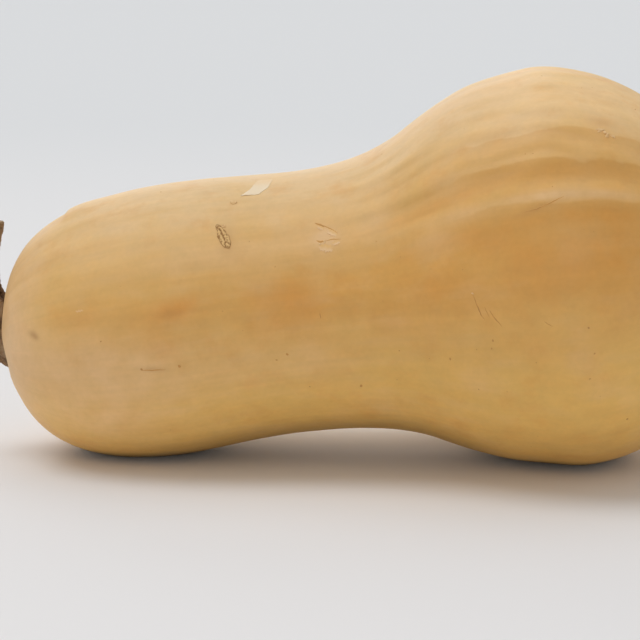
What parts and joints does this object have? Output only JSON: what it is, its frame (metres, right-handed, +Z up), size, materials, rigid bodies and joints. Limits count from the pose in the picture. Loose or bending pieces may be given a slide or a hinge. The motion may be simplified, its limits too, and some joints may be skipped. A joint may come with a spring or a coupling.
{
  "type": "butternut squash",
  "caption": "Whole butternut squash with a long neck, a round bulb and a short bent dry stem, lying on its side as it would rest on a table.",
  "frame": {"origin": "on the floor, under the middle of the whole squash's box", "axes": "+X from the stem end towards the blossom end, +Z up, +Y sideways"},
  "size_m": [0.2646, 0.1372, 0.1306],
  "materials": {
    "squash_skin": "satin",
    "dry_stem": "matte"
  },
  "bodies": {
    "root": {"squash_fruit": "squash_skin", "stem": "dry_stem"}
  },
  "joints": []
}
